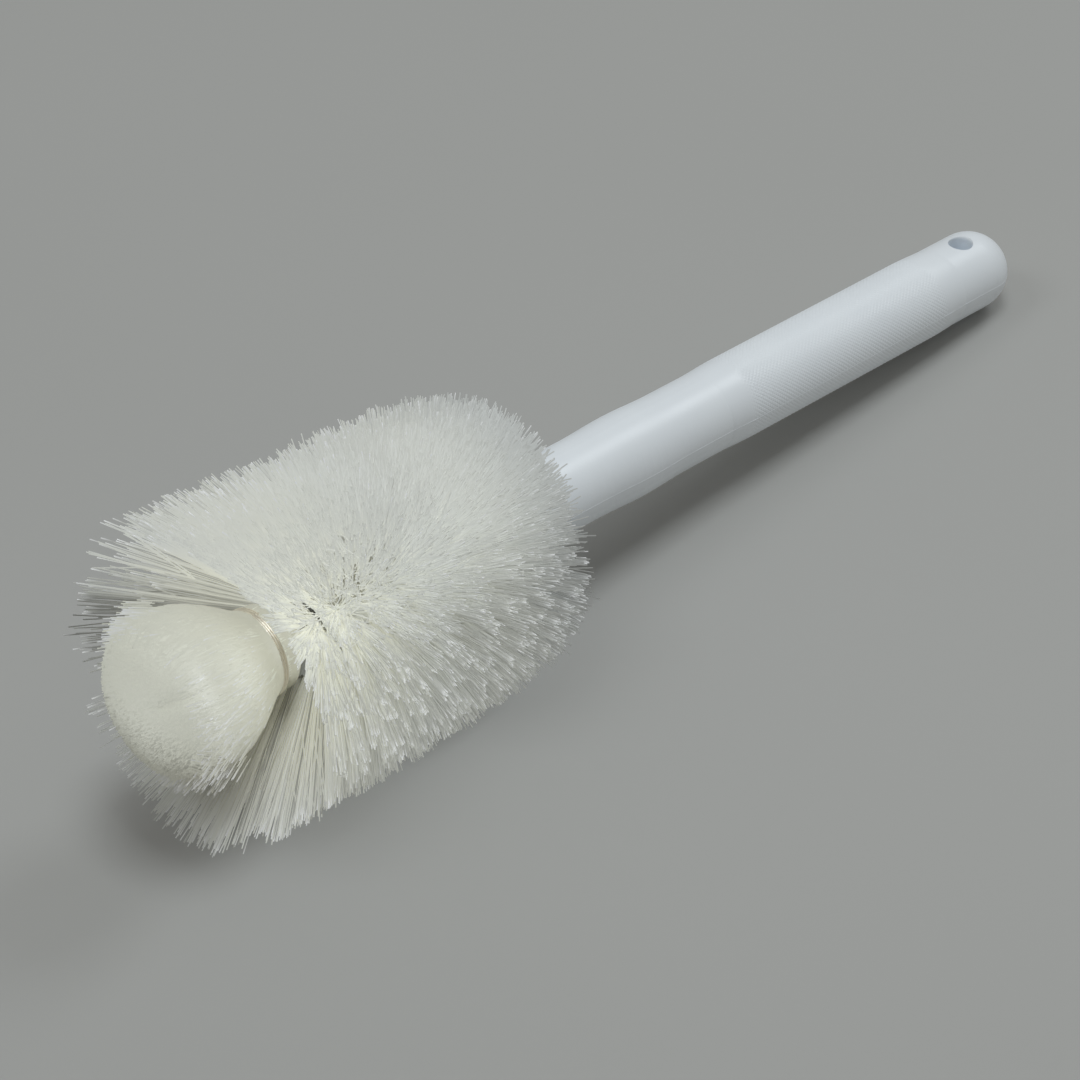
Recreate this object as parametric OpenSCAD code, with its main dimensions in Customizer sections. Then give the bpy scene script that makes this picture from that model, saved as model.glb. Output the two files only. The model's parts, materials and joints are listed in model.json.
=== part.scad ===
// Bottle brush: a moulded plastic handle on a twisted wire stem, a flared head of nylon bristles
// and a tuft bound with a wire ring at the tip. The brush lies at rest, handle towards +X.
// Stations are distances along the brush's own axis, measured from the handle's round end.

/* [Handle] */
// Diameter of the plain handle and of its round end
handle_d = 20; // [16:0.5:26]
// Length of the whole handle, to the tip of its nose
handle_l = 185; // [160:1:230]
// Station where the grip band starts
grip_start = 29; // [24:1:40]
// Length of the grip band
grip_l = 72; // [40:1:84]
// Height of the grip band above the plain handle
grip_rise = 0.25; // [0.1:0.05:0.6]
// Station of the middle of the swelling in the neck
swell_at = 135; // [132:1:150]
// Length of the swelling
swell_l = 30; // [16:1:36]
// Height of the swelling above the plain handle
swell_rise = 0.45; // [0.1:0.05:1.5]
// Radius of the rounded nose, under the bristles
nose_round = 5.5; // [3:0.5:5.5]

/* [Hang hole] */
// Diameter of the hole
hole_d = 6; // [4:0.5:7]
// Station of the hole's centre
hole_at = 14.2; // [13:0.1:18]
// Radius of the rounded mouths
hole_round = 1; // [0.4:0.1:1.2]

/* [Stem wire] */
// Diameter of the wire
wire_d = 2; // [1.4:0.1:2.4]
// Gap between the two strands, where they grip the bristles
strand_gap = 0.3; // [0.2:0.05:0.6]
// Length of one full turn of the twist
twist_pitch = 11; // [9:0.5:16]
// Depth of the socket that the stem is moulded into
socket_l = 32; // [20:1:50]
// Radius of the folded eye at the stem's tip, to the middle of the wire
eye_r = 2; // [1.8:0.1:2.6]

/* [Bristles] */
// Length of stem that holds bristles
fill_l = 43; // [30:1:60]
// Clear gap between the handle's nose and the rearmost bristles
fill_gap = 0.2; // [0.2:0.1:4]
// Diameter of the head across its rear tips
rear_d = 57; // [40:1:72]
// Diameter of the head across its front tips
front_d = 72; // [56:1:88]
// Backward lean of the rearmost bristles, in degrees
rear_lean = 32; // [0:1:36]
// Forward lean of the foremost bristles, in degrees
front_lean = 46; // [30:1:48]
// Diameter of a bundle of bristles where the stem grips it
root_d = 0.38; // [0.2:0.02:0.4]
// Diameter of a bundle of bristles at its tips
bundle_d = 5.2; // [2:0.2:6]
// Bundles along one turn of a strand
bundles_per_turn = 20; // [10:1:20]
// How far the bristles under the head are pressed flat
press = 2.6; // [0.5:0.1:5]
// Turn of the lying brush round its own axis, in degrees
roll = 3.3; // [-20:0.1:20]

/* [Tuft] */
// Diameter of the tuft where the wire binds it
neck_d = 19.6; // [14:0.2:24]
// Diameter of the tuft at its widest
belly_d = 37.8; // [28:0.2:44]
// Length of the tuft in front of the binding
tuft_l = 34.4; // [24:0.2:44]
// Length of the tuft's domed end
dome_l = 12; // [6:0.5:18]
// Length of the tuft's neck, from the foremost bristles of the head to the binding
neck_l = 2.4; // [1.4:0.1:6]

/* [Binding] */
// Diameter of the binding wire
binding_wire_d = 0.55; // [0.4:0.05:0.9]
// Turns of the binding
binding_turns = 3; // [2:1:4]

/* [Hidden] */
round_fn = 96;
curve_steps = 12;
sweep_sides = 8;
rings_per_turn = 16;
binding_steps = 48;
fit_gap = 0.2;
touch_gap = 0.02;
collar_wall = 1.2;
lip = 0.5;
bench = 400;

handle_r = handle_d / 2;
wire_r = wire_d / 2;
strand_r = wire_r + strand_gap / 2;
stem_r = strand_r + wire_r;
groove_r = strand_r * 0.7;
binding_pitch = binding_wire_d + 0.03;
binding_r = ((neck_d + binding_wire_d) / 2 + touch_gap) / cos(180 / binding_steps);

// Shares of the way along the head: 0 at the rearmost bristles, 1 at the foremost
function lean(share) = front_lean * share - rear_lean * (1 - share);
function tip_r(share) = (front_d - (front_d - rear_d) * pow(1 - share, 4)) / 2;
function root_at(share) = fill_start + fill_l * share;
function tip_at(share) = root_at(share) + tip_r(share) * tan(lean(share));

// The flank of the foremost bundles, at radius r: what stands in front of the head starts here.
function fan_edge(r) =
    let (half = (root_d + (bundle_d - root_d) * r / tip_r(1)) / 2)
        fill_end + r * tan(front_lean) + half / cos(front_lean) + fit_gap;

// The rear flank of the rearmost bundles is a line that slopes back by flank_slope. The bristles
// start where that line clears the circle of the nose's rounding by fill_gap.
flank_slope = tan(rear_lean) + (bundle_d - root_d) / rear_d / cos(rear_lean);
nose_at = handle_l - nose_round;
nose_clear = (handle_r - nose_round) * flank_slope + (nose_round + fill_gap) * norm([1, flank_slope]);

// Stations of the pieces, one after the other
stem_start = handle_l - socket_l + wire_r;
fill_start = nose_at + nose_clear + root_d / 2 / cos(rear_lean);
fill_end = fill_start + fill_l;
collar_r = eye_r + wire_r + collar_wall;
lip_r = neck_d / 2 + lip;
tuft_start = fan_edge(collar_r);
eye_at = tuft_start + 1.5 * wire_r;
eye_tip = eye_at + eye_r + wire_r;
ease_l = eye_at - fill_end;
binding_half = (binding_turns + 1) * binding_pitch / 2;
binding_at = fan_edge(lip_r) + neck_l + binding_half;
belly_at = binding_at + tuft_l - dome_l;

// The lying brush touches the bench with its round end and with the bristles at rest_share.
rest_share = 0.22;
rest_reach = tip_at(rest_share) - handle_r;
rest_r = tip_r(rest_share);
lie_tilt = atan(rest_r / rest_reach) - asin((handle_r + press) / norm([rest_reach, rest_r]));
function reach(p) = (p[1] - handle_r) * cos(lie_tilt) + p[0] * sin(lie_tilt);
front_reach = max([for (p = tuft_outline()) reach(p)]);
end_x = (front_reach - handle_r) / 2;

// Lays down a piece that was built up the Z axis, with the origin under the middle of the brush.
module laid() {
    translate([end_x, 0, handle_r])
        rotate([0, lie_tilt - 90, 0])
            rotate([0, 0, roll])
                translate([0, 0, -handle_r])
                    children();
}

// A tube of radius r that follows points; sides[i] is a unit vector square to the path at point i.
module sweep(points, sides, r) {
    n = len(points);
    function along(i) = points[min(i + 1, n - 1)] - points[max(i - 1, 0)];
    function unit(v) = v / norm(v);
    rings = [
        for (i = [0 : n - 1])
            let (t = unit(along(i)), a = unit(sides[i] - (sides[i] * t) * t), b = cross(t, a))
                for (k = [0 : sweep_sides - 1])
                    let (turn = 360 * k / sweep_sides)
                        points[i] + r * (cos(turn) * a + sin(turn) * b)
    ];
    walls = [
        for (i = [0 : n - 2])
            for (k = [0 : sweep_sides - 1])
                let (next = (k + 1) % sweep_sides, low = i * sweep_sides, high = low + sweep_sides)
                    each [[low + k, high + k, high + next], [low + k, high + next, low + next]]
    ];
    first = [for (k = [0 : sweep_sides - 1]) k];
    last = [for (k = [sweep_sides - 1 : -1 : 0]) (n - 1) * sweep_sides + k];
    polyhedron(points = rings, faces = concat([first], walls, [last]), convexity = 10);
}

// Half outline of the swelling: a smooth rise and fall along the neck.
function swelling() = [
    for (i = [0 : curve_steps])
        let (share = i / curve_steps)
            [handle_r + swell_rise * (1 - cos(360 * share)) / 2, swell_at + swell_l * (share - 0.5)]
];

// Half section of the handle, without its hole and socket.
module handle_section() {
    grip_r = handle_r + grip_rise;
    intersection() {
        translate([0, handle_r]) circle(handle_r, $fn = round_fn);
        square([handle_r, handle_r]);
    }
    translate([0, handle_r]) square([handle_r, nose_at - handle_r]);
    translate([0, nose_at]) square([handle_r - nose_round, nose_round]);
    intersection() {
        translate([handle_r - nose_round, nose_at]) circle(nose_round, $fn = round_fn);
        translate([handle_r - nose_round, nose_at]) square(nose_round);
    }
    polygon([
        [0, grip_start],
        [handle_r, grip_start],
        [grip_r, grip_start + grip_rise],
        [grip_r, grip_start + grip_l - grip_rise],
        [handle_r, grip_start + grip_l],
        [0, grip_start + grip_l],
    ]);
    polygon(concat([[0, swell_at - swell_l / 2]], swelling(), [[0, swell_at + swell_l / 2]]));
}

// The hang hole with a rounded mouth at both ends, along the Z axis.
module hang_hole() {
    hole_r = hole_d / 2;
    mouth_r = hole_r + hole_round;
    mouth_at = handle_r - 0.8 * hole_round;
    rotate_extrude($fn = round_fn) {
        translate([0, -mouth_at]) square([hole_r, 2 * mouth_at]);
        for (end = [0, 1])
            mirror([0, end])
                translate([0, mouth_at])
                    difference() {
                        square([mouth_r, hole_round + 1]);
                        translate([mouth_r, 0]) circle(hole_round, $fn = round_fn);
                    }
    }
}

// One moulding, with a round end, a raised grip band, a swelling in the neck and a rounded nose.
module handle() {
    color([0.9, 0.92, 0.95])
        laid()
            difference() {
                rotate_extrude($fn = round_fn) handle_section();
                translate([0, 0, hole_at]) rotate([0, 90, 0]) hang_hole();
                translate([0, 0, handle_l - socket_l])
                    cylinder(h = socket_l + 1, r = stem_r + fit_gap, $fn = round_fn);
            }
}

// Angle of the first strand: the twist is steady up to the last bristles, then it dies out.
function twist(station) =
    let (past = max(station - fill_end, 0), steady = min(station, fill_end) - stem_start)
        360 / twist_pitch * (steady + past - past * past / (2 * ease_l));

// Distance of a strand from the stem's axis: the strands part smoothly into the eye.
function strand_reach(station) =
    let (share = max(station - fill_end, 0) / ease_l)
        strand_r + (eye_r - strand_r) * (3 - 2 * share) * share * share;

// A single wire, folded double at the eye and twisted on itself: up one strand, round and back.
module stem_wire() {
    steps = ceil((eye_at - stem_start) / twist_pitch * rings_per_turn);
    up = [for (i = [0 : steps]) stem_start + (eye_at - stem_start) * i / steps];
    down = [for (i = [steps : -1 : 0]) up[i]];
    fold = [for (i = [1 : 7]) 22.5 * i];
    function outward(angle) = [cos(angle), sin(angle), 0];
    function strand(station, half) =
        strand_reach(station) * outward(twist(station) + half) + [0, 0, station];
    function fold_side(turn) = cos(turn) * outward(twist(eye_at)) + [0, 0, sin(turn)];
    points = concat(
        [for (s = up) strand(s, 0)],
        [for (turn = fold) [0, 0, eye_at] + eye_r * fold_side(turn)],
        [for (s = down) strand(s, 180)]
    );
    sides = concat(
        [for (s = up) outward(twist(s))],
        [for (turn = fold) fold_side(turn)],
        [for (s = down) outward(twist(s) + 180)]
    );
    color([0.72, 0.72, 0.7]) laid() sweep(points, sides, wire_r);
}

// One bundle: it leaves by the groove between the strands, leans, and widens to its trimmed tips.
module bundle(share, half) {
    station = root_at(share);
    start = groove_r / cos(lean(share));
    way_out = station + strand_r * tan(lean(share));
    rotate([0, 0, twist(way_out) + 90 + half])
        translate([0, 0, station])
            rotate([0, 90 - lean(share), 0])
                translate([0, 0, start])
                    cylinder(
                        h = tip_r(share) / cos(lean(share)) - start,
                        d1 = root_d,
                        d2 = bundle_d,
                        $fn = 16
                    );
}

// Nylon bristles, gripped between the strands in two rows that wind round the stem like a
// double screw. They fan back over the handle's nose, fan forward round the tuft, and are
// pressed flat where the head rests on the bench.
module bristle_fill() {
    count = floor(fill_l / twist_pitch * bundles_per_turn);
    color([0.93, 0.93, 0.88])
        difference() {
            laid()
                for (i = [0 : count])
                    for (half = [0, 180])
                        bundle(i / count, half);
            translate([-bench / 2, -bench / 2, -bench]) cube(bench);
        }
}

// Half outline of the tuft: from the stem's eye it swells to a lip behind the binding, is pinched
// by it, swells to the belly and is domed at the tip.
function tuft_outline() =
    let (
        neck_r = neck_d / 2,
        belly_r = belly_d / 2,
        front = binding_at + binding_half,
        rear = binding_at - binding_half
    )
    concat(
        [[0, tuft_start], [collar_r, tuft_start]],
        [[lip_r, fan_edge(lip_r)], [lip_r, rear - lip], [neck_r, rear]],
        [
            for (i = [0 : curve_steps])
                let (share = i / curve_steps)
                    [neck_r + (belly_r - neck_r) * sin(90 * share), front + (belly_at - front) * share]
        ],
        [
            for (i = [1 : curve_steps])
                let (angle = 90 * i / curve_steps)
                    [belly_r * cos(angle), belly_at + dome_l * sin(angle)]
        ]
    );

// The tuft's filaments are folded through the stem's eye, and stand forward in one dense tuft.
module tip_tuft() {
    pocket_r = eye_r + wire_r + fit_gap;
    held_r = eye_r - wire_r - fit_gap;
    color([0.93, 0.93, 0.88])
        laid() {
            difference() {
                rotate_extrude($fn = round_fn) polygon(tuft_outline());
                translate([0, 0, tuft_start - 1])
                    cylinder(h = eye_tip + fit_gap - tuft_start + 1, r = pocket_r, $fn = round_fn);
            }
            rotate([0, 0, twist(eye_at)])
                translate([0, 0, eye_at])
                    rotate([90, 0, 0])
                        cylinder(h = 2 * pocket_r + 1, r = held_r, center = true, $fn = round_fn);
        }
}

// Fine wire wound round the tuft's neck, its turns side by side and its ends cut flush.
module binding_wire() {
    steps = binding_steps * binding_turns;
    turns = [for (i = [0 : steps]) 360 * binding_turns * i / steps];
    function outward(turn) = [cos(turn), sin(turn), 0];
    function place(turn) = binding_at + binding_pitch * (turn / 360 - binding_turns / 2);
    points = [for (turn = turns) binding_r * outward(turn) + [0, 0, place(turn)]];
    color([0.8, 0.78, 0.72]) laid() sweep(points, [for (turn = turns) outward(turn)], binding_wire_d / 2);
}

handle();
stem_wire();
bristle_fill();
tip_tuft();
binding_wire();
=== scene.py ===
"""Looks of the bottle brush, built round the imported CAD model. Metres, in the row frame.

Stations are distances along the brush's own axis, measured from the handle's round end. Angles round
the axis run from the top, at 0, over +Y, at 90 degrees. The far side is the one towards +Y, and the near
side the one towards -Y.
"""

import json
import math

import bpy
import numpy as np
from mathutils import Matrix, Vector
from mathutils.kdtree import KDTree


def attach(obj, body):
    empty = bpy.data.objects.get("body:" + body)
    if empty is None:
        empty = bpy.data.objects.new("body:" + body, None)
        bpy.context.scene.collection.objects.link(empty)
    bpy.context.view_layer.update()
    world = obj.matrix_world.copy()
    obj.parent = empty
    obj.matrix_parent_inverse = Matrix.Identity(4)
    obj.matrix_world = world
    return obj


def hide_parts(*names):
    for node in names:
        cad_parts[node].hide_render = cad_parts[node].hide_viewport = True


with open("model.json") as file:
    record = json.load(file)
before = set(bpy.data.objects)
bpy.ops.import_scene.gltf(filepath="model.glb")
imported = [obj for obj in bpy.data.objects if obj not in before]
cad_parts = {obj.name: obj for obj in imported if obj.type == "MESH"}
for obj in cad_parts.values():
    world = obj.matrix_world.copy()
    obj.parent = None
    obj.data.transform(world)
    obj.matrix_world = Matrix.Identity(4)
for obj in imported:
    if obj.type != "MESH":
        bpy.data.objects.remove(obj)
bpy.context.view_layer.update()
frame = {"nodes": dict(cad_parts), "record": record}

MM = 0.001

# ---------------------------------------------------------------------------------------------
# The brush's own axes, from the hang hole's mount: station 0 is the handle's round end.

HANG_AT = 14.2 * MM
hang = frame["record"]["mounts"][0]
hole_axis = np.array(hang["axis"], float)
tilt = math.atan2(hole_axis[0], hole_axis[2])
AXIS = np.array([-math.cos(tilt), 0.0, math.sin(tilt)])
TOP = hole_axis - (hole_axis @ AXIS) * AXIS
TOP /= np.linalg.norm(TOP)
SIDE = np.cross(AXIS, TOP)
ORIGIN = np.array(hang["pos_m"], float) - HANG_AT * AXIS
UP = np.array([0.0, 0.0, 1.0])

# Sizes that the looks share with the CAD model
HANDLE_R, NOSE_FROM = 10 * MM, 179 * MM
SWELL_FROM, SWELL_TO, SWELL_RISE = 120 * MM, 150 * MM, 0.45 * MM
GRIP_R = 10.25 * MM
GRIP_FROM, GRIP_TO = 29 * MM, 101 * MM
STEM_FROM, FILL_FROM, FILL_TO = 154 * MM, 190 * MM, 233 * MM
TWIST_PITCH = 11 * MM
TWIST_TURN = math.radians(45)
BINDING_AT, BINDING_HALF = 248.7 * MM, 1.16 * MM
NECK_R, BELLY_R = 9.8 * MM, 18.9 * MM
BELLY_AT, DOME_L = 271.1 * MM, 12 * MM


def place(station, radius, angle):
    """Points at these stations, distances from the axis and angles from the top, as an (..., 3) array."""
    station, radius, angle = np.broadcast_arrays(station, radius, angle)
    out = np.cos(angle)[..., None] * TOP + np.sin(angle)[..., None] * SIDE
    return ORIGIN + station[..., None] * AXIS + radius[..., None] * out


def outwards(angle):
    """Directions away from the axis at these angles from the top."""
    return place(0 * angle, 1.0, angle) - place(0 * angle, 0.0, angle)


# ---------------------------------------------------------------------------------------------
# Curves and random values


def unit(vectors):
    return vectors / np.linalg.norm(vectors, axis=-1, keepdims=True)


def rise(value, start, length):
    """0 up to the start, then an even rise over the length, and 1 from there on."""
    return np.clip((value - start) / length, 0, 1)


def fall(value, length):
    """1 at 0, then an even fall over the length, and 0 from there on."""
    return np.clip(1 - value / length, 0, 1)


def smooth(value):
    """Eases a value between 0 and 1 in and out."""
    return value * value * (3 - 2 * value)


def hump(value, middle, width):
    """1 where the value is at the middle, falling off to both sides."""
    return np.exp(-(((value - middle) / width) ** 2))


def degrees_from(angle, middle):
    """How far the angles are from the middle, from -180 to 180 degrees."""
    return (np.degrees(angle) - middle + 180) % 360 - 180


def bell(angle, spot):
    """The amount of a spot where the angle is at its middle, falling off to both sides.

    A spot is an amount, and a middle and a width in degrees.
    """
    amount, middle, width = spot
    return amount * np.exp(-(degrees_from(angle, middle) / width) ** 2)


def wavy(rng, angle, along, cells):
    """Smooth random values from -1 to 1, closed round the axis; cells is their count (around, along)."""
    grid = rng.uniform(-1, 1, (cells[0], cells[1] + 2))
    x, y = (angle / math.tau % 1) * cells[0], np.clip(along, 0, 1) * cells[1]
    i, j = np.floor(x).astype(int), np.floor(y).astype(int)
    fx, fy = smooth(x - i), smooth(y - j)
    i, i_next = i % cells[0], (i + 1) % cells[0]
    low = grid[i, j] * (1 - fx) + grid[i_next, j] * fx
    high = grid[i, j + 1] * (1 - fx) + grid[i_next, j + 1] * fx
    return low * (1 - fy) + high * fy


# ---------------------------------------------------------------------------------------------
# Mesh helpers

TUBE_SIDES = 3
ASLANT = 0.03
GLINT_AT_END = np.array([[0.3], [1.0]])


def make_piece(name, points, faces, material, replaced=(), normals=None):
    """A mesh piece from vertices and a list of equal-length face arrays, riding on the one body."""
    mesh = bpy.data.meshes.new(name)
    corners = np.concatenate([f.ravel() for f in faces]).astype(np.int32)
    sizes = np.concatenate([np.full(len(f), f.shape[1]) for f in faces])
    starts = np.concatenate([[0], np.cumsum(sizes)[:-1]]).astype(np.int32)
    mesh.vertices.add(len(points))
    mesh.vertices.foreach_set("co", points.astype(np.float32).ravel())
    mesh.loops.add(len(corners))
    mesh.loops.foreach_set("vertex_index", corners)
    mesh.polygons.add(len(sizes))
    mesh.polygons.foreach_set("loop_start", starts)
    mesh.update(calc_edges=True)
    mesh.shade_smooth()
    if normals is not None:
        mesh.normals_split_custom_set_from_vertices(normals.astype(np.float32))
    piece = bpy.data.objects.new(name, mesh)
    bpy.context.scene.collection.objects.link(piece)
    mesh.materials.append(material)
    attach(piece, "root")
    if replaced:
        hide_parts(*replaced)
    return piece


def tubes(paths, radii, sides, roll):
    """Closed tubes along paths, an (N, K, 3) array; radii is (N, K). Returns points, faces and normals.

    Each tube has one of its edges uppermost, turned from there by its own roll.
    """
    n, k = paths.shape[:2]
    along = unit(np.gradient(paths, axis=1))
    a = UP + ASLANT * AXIS
    a = unit(a - np.sum(a * along, axis=2, keepdims=True) * along)
    b = np.cross(along, a)
    turn = roll[:, None, None] + math.tau * np.arange(sides) / sides
    around = np.cos(turn)[..., None] * a[:, :, None] + np.sin(turn)[..., None] * b[:, :, None]
    points = (paths[:, :, None] + radii[:, :, None, None] * around).reshape(-1, 3)
    first = (np.arange(n) * k * sides)[:, None, None]
    ring = (np.arange(k - 1) * sides)[None, :, None]
    j = np.arange(sides)[None, None, :]
    low, low_next = first + ring + j, first + ring + (j + 1) % sides
    walls = np.stack([low, low_next, low_next + sides, low + sides], axis=-1).reshape(-1, 4)
    root = first[:, 0] + np.arange(sides)[::-1][None, :]
    tip = first[:, 0] + (k - 1) * sides + np.arange(sides)[None, :]
    return points, [walls, root, tip], around


def varied(rng, radius, paths):
    """Radii along the paths, which differ a little from one filament to the next."""
    return radius * rng.uniform(0.85, 1.1, (len(paths), 1)) * np.ones((1, paths.shape[1]))


def vertex_values(piece, name, values):
    """One value for each vertex, which the piece's material reads under this name."""
    attribute = piece.data.attributes.new(name, "FLOAT", "POINT")
    attribute.data.foreach_set("value", values.astype(np.float32).ravel())


def filaments(
    name, paths, radii, softness, towards, roll, material, replaced,
    shaded=False, glint=None, painted_gap_shade=None,
):
    """Thin filaments whose shading leans towards that of the mass they stand in, as translucent ones do.

    They cast no shadow, and transmitted light passes them. Diffuse light does so too, unless they are
    shaded: then they keep it from what lies between them. The glint is how much each filament's cut end
    is whitened as a painted highlight, with a smoother finish, and the painted gap shade is how much each
    filament is darkened as painted shade, for the dark between and through the strands.
    """
    points, faces, around = tubes(paths, radii, TUBE_SIDES, roll)
    normals = unit(around + softness[:, :, None, None] * towards[:, :, None])
    piece = make_piece(name, points, faces, material, replaced, normals.reshape(-1, 3))
    piece.visible_shadow = False
    piece.visible_transmission = False
    piece.visible_diffuse = shaded
    if glint is not None:
        at_tip = np.zeros(around.shape[:3])
        at_tip[:, -len(GLINT_AT_END):] = glint[:, None, None] * GLINT_AT_END
        vertex_values(piece, "glint", at_tip)
    if painted_gap_shade is not None:
        vertex_values(piece, "painted_gap_shade", np.zeros(around.shape[:3]) + painted_gap_shade[:, None, None])


def grid_faces(turns, steps, closed):
    """Quads between the points of a (turns, steps) grid, closed the first way and, if so, the second."""
    i, j = np.meshgrid(np.arange(turns), np.arange(steps if closed else steps - 1), indexing="ij")
    i_next, j_next = (i + 1) % turns, (j + 1) % steps
    corners = (i * steps + j, i_next * steps + j, i_next * steps + j_next, i * steps + j_next)
    return np.stack(corners, axis=-1).reshape(-1, 4)


# ---------------------------------------------------------------------------------------------
# Materials

# Where the nylon's painted light and shade change: on the head, painted shade towards its rear and
# towards its front edge, at the stations along the tuft; near the binding, painted light on the head and
# painted shade on the tuft. From the reach inwards to ROOT_SHARE of it, the filaments take on a darker,
# warmer painted shade.
REAR_CHANGE = (205 * MM, 174 * MM)
TUFT_CHANGE = (264 * MM, 278 * MM)
BINDING_CHANGE = (45 * MM, 12 * MM)
ROOT_SHARE = 0.3
CLEAR_ROUGHNESS, GLINT_ROUGHNESS = 0.3, 0.1
MOTTLE_FROM, MOTTLE_TO = 0.3, 0.7
# Painted shade for the dark between strands
PAINTED_GAP_COLOUR = (0.22, 0.215, 0.19)
# Painted highlight that whitens glinting cut ends
GLINT_COLOUR = (0.99, 0.99, 1.0)


def grey(value):
    return (value, value, value)


def darker(colour, share):
    return tuple(share * c for c in colour)


class Nodes:
    """A small helper that adds and links shader nodes."""

    def __init__(self, name):
        self.material = bpy.data.materials.new(name)
        self.material.use_nodes = True
        self.tree = self.material.node_tree
        self.surface = self.tree.nodes["Principled BSDF"]

    def put(self, value, socket):
        """Links the value to the socket where it is a node's output, or else sets it."""
        if isinstance(value, bpy.types.NodeSocket):
            self.tree.links.new(value, socket)
        else:
            socket.default_value = value

    def add(self, kind, inputs=(), **settings):
        node = self.tree.nodes.new(kind)
        for key, value in settings.items():
            setattr(node, key, value)
        for key, value in dict(inputs).items():
            self.put(value, node.inputs[key])
        return node

    def set(self, **values):
        for key, value in values.items():
            self.put(value, self.surface.inputs[key.replace("_", " ")])

    def ramp(self, factor, *ends):
        """Colours between two ends, each of them a place from 0 to 1 and a colour."""
        node = self.add("ShaderNodeValToRGB", {"Fac": factor})
        for element, (at, colour) in zip(node.color_ramp.elements, ends):
            element.position = at
            element.color = (*colour, 1.0)
        return node.outputs["Color"]

    def mottled(self, noise, low, high):
        """Colours between two, over the values that noise mostly takes."""
        return self.ramp(noise, (MOTTLE_FROM, low), (MOTTLE_TO, high))

    def noise(self, scale, detail, vector):
        inputs = {"Scale": scale, "Detail": detail, "Vector": vector}
        return self.add("ShaderNodeTexNoise", inputs).outputs["Fac"]

    def place(self):
        return self.add("ShaderNodeTexCoord").outputs["Object"]

    def attribute(self, name):
        return self.add("ShaderNodeAttribute", attribute_name=name).outputs["Fac"]

    def vector(self, operation, inputs, output="Vector"):
        return self.add("ShaderNodeVectorMath", inputs, operation=operation).outputs[output]

    def between(self, value, low, high):
        """0 up to the low value, 1 from the high value on and smooth between them; low may be the larger."""
        inputs = {"Value": value, "From Min": low, "From Max": high}
        return self.add("ShaderNodeMapRange", inputs, interpolation_type="SMOOTHSTEP").outputs["Result"]

    def bump(self, height, distance, strength):
        inputs = {"Height": height, "Distance": distance, "Strength": strength}
        return self.add("ShaderNodeBump", inputs).outputs["Normal"]

    def mixed(self, factor, a, b):
        """Colour a where the factor is 0, colour b where it is 1. The first may be a node's output."""
        node = self.add("ShaderNodeMix", data_type="RGBA")
        self.tree.links.new(factor, node.inputs["Factor"])
        for key, value in (("A", a), ("B", b)):
            socket = [s for s in node.inputs if s.name == key and s.type == "RGBA"][0]
            self.put(value if isinstance(value, bpy.types.NodeSocket) else (*value, 1.0), socket)
        return [s for s in node.outputs if s.type == "RGBA"][0]


def handle_plastic():
    """Satin moulded white plastic, slightly cool, with a faint moulded mottle."""
    n = Nodes("handle_plastic")
    where = n.place()
    mottle = n.noise(60, 3, where)
    grain = n.noise(1800, 2, where)
    n.set(
        Base_Color=n.mottled(mottle, (0.88, 0.925, 0.97), (0.905, 0.95, 0.99)),
        Roughness=n.mottled(mottle, grey(0.3), grey(0.38)),
        Normal=n.bump(grain, 0.02 * MM, 0.5),
        IOR=1.49,
    )
    return n.material


def nylon(name, root, tip, near, ends, reach, through):
    """Nylon filaments, with one colour at the root and one at the tip, which lies at this reach.

    The darker, warmer root colour is painted shade deep among the filaments. near is the colour beside the
    binding: painted light on the head, where it is brighter and warmer, and painted shade on the tuft, where
    it is darker. ends is the colour at the head's rear and at the stations of the tuft's end: painted shade
    on the head, and the tip's own colour on the tuft. through is the share of light that crosses a filament
    and shows on its far side.
    """
    n = Nodes(name)
    where = n.place()
    offset = n.vector("SUBTRACT", {0: where, 1: tuple(ORIGIN)})
    from_axis = n.vector("CROSS_PRODUCT", {0: offset, 1: tuple(AXIS)})
    radius = n.vector("LENGTH", {0: from_axis}, "Value")
    station = n.vector("DOT_PRODUCT", {0: offset, 1: tuple(AXIS)}, "Value")
    away = n.vector("DISTANCE", {0: where, 1: tuple(ORIGIN + BINDING_AT * AXIS)}, "Value")
    # Painted shade: darker and warmer from the tips in towards the roots
    colour = n.mixed(n.between(radius, ROOT_SHARE * reach, reach), root, tip)
    # Painted shade on the head towards its rear and its front edge; on the tuft, ends is its tip colour
    colour = n.mixed(n.between(station, *REAR_CHANGE), colour, ends)
    colour = n.mixed(n.between(station, *TUFT_CHANGE), colour, ends)
    # Near the binding: painted light on the head, painted shade on the tuft
    colour = n.mixed(n.between(away, *BINDING_CHANGE), colour, near)
    # Painted shade, per filament, for the dark between and through the strands
    colour = n.mixed(n.attribute("painted_gap_shade"), colour, PAINTED_GAP_COLOUR)
    # Glinting cut ends: a painted highlight that whitens the colour, with a smoother finish
    glint = n.attribute("glint")
    n.set(
        Base_Color=n.mixed(glint, colour, GLINT_COLOUR),
        Roughness=n.ramp(glint, (0.0, grey(CLEAR_ROUGHNESS)), (1.0, grey(GLINT_ROUGHNESS))),
        IOR=1.5,
    )
    passed = n.vector("SCALE", {0: colour, "Scale": through})
    facet = n.add("ShaderNodeNewGeometry").outputs["True Normal"]
    lit = n.add("ShaderNodeBsdfTranslucent", {"Color": passed, "Normal": facet}).outputs["BSDF"]
    both = n.add("ShaderNodeAddShader", {0: n.surface.outputs["BSDF"], 1: lit}).outputs["Shader"]
    n.tree.links.new(both, n.tree.nodes["Material Output"].inputs["Surface"])
    return n.material


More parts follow.
